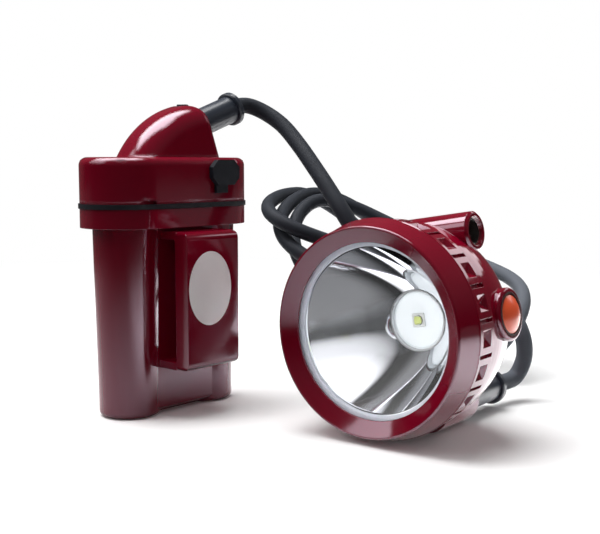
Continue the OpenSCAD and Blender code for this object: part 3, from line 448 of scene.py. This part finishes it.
# ---------------------------------------------------------------- materials of the lamp
DRIFT_DETAIL, DRIFT_SPAN = 4, (0.3, 0.7)  # slow noise that colour and roughness follow
GRAIN_DETAIL, GRAIN_HEIGHT = 3, 0.0002  # fine noise of the bump, and its height in metres


def vary_color(tree, shader, where, drift, color, tint, painted_light):
    """Colour a little darker and paler with the noise; the last argument paints it paler towards the
    studio's right, as painted light where that side is lit more.
    """
    darker = tuple(c * (1 - tint) for c in color)
    paler = tuple(min(c * (1 + tint), 1) for c in color)
    base = mix_colors(tree, drift, darker, paler)
    # Painted light: the colour turns paler towards the studio's right, where more light falls
    if painted_light:
        span, painted_light_color = painted_light
        base = mix_colors(tree, ramp(tree, along(tree, where, ACROSS), span, 0, 1), base, painted_light_color)
    tree.links.new(base, shader.inputs["Base Color"])


def vary_roughness(tree, shader, drift, roughness, spread):
    rough = ramp(tree, drift, DRIFT_SPAN, max(roughness - spread, 0), roughness + spread, "LINEAR")
    tree.links.new(rough, shader.inputs["Roughness"])


def add_bump(tree, shader, where, strength, scale, soften):
    """Fine grain; soften is the radius to which the shading rounds the edges."""
    push = tree.nodes.new("ShaderNodeBump")
    push.inputs["Strength"].default_value = strength
    push.inputs["Distance"].default_value = GRAIN_HEIGHT
    tree.links.new(noise(tree, where, scale, GRAIN_DETAIL), push.inputs["Height"])
    tree.links.new(push.outputs["Normal"], shader.inputs["Normal"])
    if soften:
        edge = tree.nodes.new("ShaderNodeBevel")
        edge.inputs["Radius"].default_value = soften
        tree.links.new(edge.outputs["Normal"], push.inputs["Normal"])


def principled(name, values):
    """New material whose shader has these values on its sockets."""
    mat = bpy.data.materials.new(name)
    mat.use_nodes = True
    tree = mat.node_tree
    shader = tree.nodes["Principled BSDF"]
    for socket, value in values.items():
        shader.inputs[socket].default_value = value
    return mat, tree, shader


def material(name, color, roughness, metallic=0, coat=0, spread=0.04, scale=60, bump=0,
             bump_scale=900, tint=0.06, ior=1.5, specular=0.5, soften=0, gloss_tint=(1, 1, 1),
             painted_light=None):
    """Surface whose colour and roughness drift a little over the part."""
    mat, tree, shader = principled(name, {
        "Metallic": metallic,
        "IOR": ior,
        "Specular IOR Level": specular,
        "Specular Tint": (*gloss_tint, 1),
        "Coat Weight": coat,
    })
    where = tree.nodes.new("ShaderNodeTexCoord").outputs["Object"]
    drift = noise(tree, where, scale, DRIFT_DETAIL)
    vary_color(tree, shader, where, drift, color, tint, painted_light)
    vary_roughness(tree, shader, drift, roughness, spread)
    if bump:
        add_bump(tree, shader, where, bump, bump_scale, soften)
    return mat


def clear_plastic(name):
    """The lamps shine straight through it, and everything else finds glass."""
    mat, tree, shader = principled(name, {
        "Base Color": (1, 1, 1, 1),
        "Roughness": 0,
        "IOR": 1.45,
        "Transmission Weight": 1,
    })
    path = tree.nodes.new("ShaderNodeLightPath").outputs
    clear = tree.nodes.new("ShaderNodeBsdfTransparent")
    surface = either(tree, path["Is Shadow Ray"], shader.outputs[0], clear.outputs[0])
    tree.links.new(surface, tree.nodes["Material Output"].inputs["Surface"])
    return mat


def crimson(name, soften):
    """Glossy plastic of the mouldings, whose gloss leans to pink."""
    return material(name, (0.13, 0.0008, 0.009), 0.09, spread=0.02, bump=0.02, bump_scale=350,
                    soften=soften, ior=1.7, gloss_tint=(1, 0.85, 1))


MATS = {
    "red": crimson("crimson_plastic", 0.3 * MM),
    "shell": crimson("crimson_shell", 2 * MM),
    # The cable's sheath is painted paler towards the studio's right: painted light for the stronger light
    # on that side
    "cable": material("cable_sheath", (0.022, 0.025, 0.032), 0.6, spread=0.06, bump=0.12, scale=90,
                      specular=0.12, painted_light=((0.08, 0.15), (0.11, 0.12, 0.14))),
    "boot": material("boot_rubber", (0.016, 0.020, 0.030), 0.34, spread=0.05, bump=0.08),
    "gasket": material("gasket_rubber", (0.008, 0.008, 0.011), 0.4, bump=0.2, specular=0.25),
    "plug": material("plug_rubber", (0.006, 0.008, 0.012), 0.5, bump=0.3, specular=0.2),
    "lens": clear_plastic("clear_lens"),
    "silicone": material("pale_silicone", (0.42, 0.44, 0.50), 0.3),
    "mirror": material("mirror_coat", (0.93, 0.94, 0.97), 0.03, metallic=1, spread=0.02, tint=0.02),
    "board": material("white_board", (0.84, 0.89, 0.91), 0.4, bump=0.1, tint=0.02),
    "emitter": material("led_package", (0.60, 0.62, 0.61), 0.35),
    "die": material("led_phosphor", (0.85, 0.95, 0.30), 0.4, tint=0.03),
    "foil": material("sticker_foil", (1, 1, 1), 0.5, metallic=0.1, bump=0.05),
    "sink": material("heat_sink_alloy", (0.70, 0.71, 0.73), 0.3, metallic=1),
    "green": material("circuit_board", (0.02, 0.14, 0.06), 0.4),
    "steel": material("steel", (0.62, 0.63, 0.65), 0.28, metallic=1, bump=0.1),
    "nickel": material("nickel_plate", (0.62, 0.58, 0.56), 0.2, metallic=1),
    "seal": material("seal_rubber", (0.020, 0.008, 0.007), 0.3),
    "dark": material("dark_plastic", (0.015, 0.015, 0.018), 0.4),
    "button": material("orange_button", (1, 0.12, 0.035), 0.3, coat=0.1),
    "cells": material("cell_wrap", (0.05, 0.18, 0.45), 0.25),
    "foam": material("foam", (0.03, 0.03, 0.03), 0.9, bump=0.8),
}
NODE_LOOKS = {
    "red": ["pack_body", "belt_loop", "bezel_ring", "head_housing"],
    "shell": ["pack_cover"],
    "cable": ["cable_pack_end", "cable_pack_run", "cable_coil", "cable_head_run", "cable_head_end"],
    "boot": ["pack_boot", "head_boot", "hood_vent", "housing_seal"],
    "gasket": ["cover_gasket"],
    "plug": ["port_plug"],
    "lens": ["lens"],
    "silicone": ["lens_seal"],
    "mirror": ["reflector"],
    "board": ["led_board"],
    "emitter": ["led_emitter"],
    "sink": ["heat_sink"],
    "green": ["protection_board", "driver_board"],
    "steel": ["cover_screws", "cell_links", "pack_cable_clamp", "head_cable_clamp", "charge_pin",
              "cap_hook", "hook_screws"],
    "nickel": ["charge_sleeve"],
    "seal": ["switch_seal"],
    "dark": ["charge_jack", "switch_body"],
    "button": ["switch_button"],
    "cells": ["battery_cells"],
    "foam": ["cell_pads"],
}
PIECE_LOOKS = {"cable": cable, "mirror": bowl, "board": board, "emitter": package, "die": die,
               "lens": dome, "foil": sticker}


def set_material(obj, mat):
    obj.data.materials.clear()
    obj.data.materials.append(mat)


for look, names in NODE_LOOKS.items():
    for name in names:
        set_material(NODES[name], MATS[look])
for look, piece in PIECE_LOOKS.items():
    set_material(piece, MATS[look])

# ---------------------------------------------------------------- floor and room
# Strengths, where 1 is white. A span holds where a change begins and where it ends.
ROOM, CEILING, BEHIND = 0.03, 0.28, 0.2  # what gloss sees in front, overhead and behind
CEILING_SPAN, BEHIND_SPAN = (0.05, 0.5), (0.15, 0.6)  # how much of a direction points there
OUTER_ROOM = 0.3  # share of the room that outer surfaces mirror; the bowl, behind the lens, mirrors all
FILL = 0.14  # the room's light on the object
GATHER = 1.6  # room that the board and the seal see through the lens and in the bowl

# The floor, in metres from the frame's origin along the studio's axes
FLOOR_HALF, FLOOR_Z = 3, -0.0002
SWEEP_WHITE = 0.85
FADE_SPAN = (0.25, 0.6)  # shadows give way to plain white
END_SPAN = (-0.5, 0.1)  # forward: gloss sees the sweep end in front of the object
LEFT_SPAN, SWEEP_LEFT = (-0.3, 0.05), 0.35  # across: gloss sees less of the sweep on the left
LIT_SPAN, SWEEP_BRIGHT = (0, 0.13), 1.9  # across: and more than white on the right
BOUNCE_SPAN, SWEEP_BOUNCE = (-0.05, 0.15), (0.08, 0.3)  # across: light thrown on the object


def mirrored_rays(tree, path):
    """1 for gloss and glass seen from the camera, not for the light they throw on other surfaces."""
    gloss = math_node(tree, "MAXIMUM", path["Is Glossy Ray"], path["Is Transmission Ray"])
    direct = inverse(tree, math_node(tree, "MINIMUM", path["Diffuse Depth"], 1))
    return math_node(tree, "MULTIPLY", gloss, direct)


def floor_material():
    """White sweep: it keeps the shadows near the object and fades to plain white further out."""
    mat = bpy.data.materials.new("floor")
    mat.use_nodes = True
    tree = mat.node_tree
    tree.nodes.remove(tree.nodes["Principled BSDF"])
    where = tree.nodes.new("ShaderNodeTexCoord").outputs["Object"]
    path = tree.nodes.new("ShaderNodeLightPath").outputs
    distance = tree.nodes.new("ShaderNodeVectorMath")
    distance.operation = "LENGTH"
    tree.links.new(where, distance.inputs[0])
    far = ramp(tree, distance.outputs["Value"], FADE_SPAN, 0, 1)
    ahead = along(tree, where, FORWARD)
    right = along(tree, where, ACROSS)
    # Gloss and glass see the sweep end in front of the object, where the dim room begins
    mirrored = mirrored_rays(tree, path)
    begun = ramp(tree, ahead, END_SPAN, 0, 1)
    side = ramp(tree, right, LEFT_SPAN, SWEEP_LEFT, 1)
    missing = inverse(tree, math_node(tree, "MULTIPLY", begun, side))
    cut = math_node(tree, "MULTIPLY", mirrored, missing)
    # Gloss sees the brightly lit side of the sweep as brighter than plain white
    bright = ramp(tree, right, LIT_SPAN, 0, SWEEP_BRIGHT)
    gain = math_node(tree, "MULTIPLY_ADD", mirrored, bright, SWEEP_WHITE)
    near = either(tree, cut, matt(tree, gain), glow(tree, ROOM))
    plain = inverse(tree, math_node(tree, "MULTIPLY", mirrored, 1 - BEHIND))
    distant = either(tree, cut, glow(tree, plain), glow(tree, ROOM))
    seen = either(tree, far, near, distant)
    # Light that it throws on the object: more on the right, where the sweep is lit more
    bounce = ramp(tree, right, BOUNCE_SPAN, *SWEEP_BOUNCE)
    thrown = either(tree, path["Is Diffuse Ray"], matt(tree, GATHER), matt(tree, bounce))
    any_seen = math_node(tree, "MAXIMUM", path["Is Camera Ray"], mirrored)
    surface = either(tree, any_seen, thrown, seen)
    tree.links.new(surface, tree.nodes["Material Output"].inputs["Surface"])
    return mat


def make_floor():
    corners = [(x * FLOOR_HALF, y * FLOOR_HALF, 0) for x, y in ((-1, -1), (1, -1), (1, 1), (-1, 1))]
    mesh = bpy.data.meshes.new("floor")
    mesh.from_pydata(corners, [], [(0, 1, 2, 3)])
    floor = new_object("floor", mesh)
    floor.location.z = FLOOR_Z
    set_material(floor, floor_material())


def make_world():
    """White behind the object; in gloss the room is dim in front and brighter towards its ceiling."""
    world = bpy.data.worlds.new("studio")
    world.use_nodes = True
    tree = world.node_tree
    tree.nodes.remove(tree.nodes["Background"])
    towards = tree.nodes.new("ShaderNodeTexCoord").outputs["Generated"]
    path = tree.nodes.new("ShaderNodeLightPath").outputs
    room = ramp(tree, along(tree, towards, UP), CEILING_SPAN, ROOM, CEILING)
    behind = ramp(tree, along(tree, towards, FORWARD), BEHIND_SPAN, 0, BEHIND)
    gloss = math_node(tree, "MAXIMUM", room, behind)
    # Outer surfaces mirror a darker room than the bowl, which is seen through the lens
    share = math_node(tree, "MULTIPLY_ADD", path["Is Transmission Ray"], 1 - OUTER_ROOM, OUTER_ROOM)
    gloss = math_node(tree, "MULTIPLY", gloss, share)
    kind = "ShaderNodeBackground"
    surface = either(tree, path["Is Diffuse Ray"], glow(tree, GATHER, kind), glow(tree, FILL, kind))
    surface = either(tree, mirrored_rays(tree, path), surface, glow(tree, gloss, kind))
    surface = either(tree, path["Is Camera Ray"], surface, glow(tree, 1, kind))
    tree.links.new(surface, tree.nodes["World Output"].inputs["Surface"])
    bpy.context.scene.world = world


make_floor()
make_world()
bpy.context.scene.view_settings.view_transform = "Standard"

# ---------------------------------------------------------------- lamps
TARGET = Vector((0.01, -0.05, 0.05))
OVERHEAD = 0.8  # a lamp whose direction rises more than this takes its side from forward


def lamp(name, at, size, radiance):
    """Soft box that looks at the target; at is how far across, forward and up it stands from it."""
    width, height = size
    data = bpy.data.lights.new(name, "AREA")
    data.shape = "RECTANGLE"
    data.size = width
    data.size_y = height
    data.energy = radiance * math.pi * width * height
    box = new_object(name, data)
    box.location = TARGET + at[0] * ACROSS + at[1] * FORWARD + at[2] * UP
    back = (box.location - TARGET).normalized()
    side = (FORWARD if back.z > OVERHEAD else UP).cross(back).normalized()
    box.rotation_euler = Matrix((side, back.cross(side), back)).transposed().to_euler()
    return box


lamp("top_box", at=(-0.2, 0.12, 0.8), size=(0.78, 0.55), radiance=9.5)
left_box = lamp("left_box", at=(-0.75, -0.15, 0.6), size=(0.7, 0.3), radiance=3.5)
left_box.visible_transmission = False  # the bowl, seen through the lens, shows only a dim room there
lamp("back_box", at=(0.75, 0.5, 0.5), size=(0.6, 0.3), radiance=2.5)
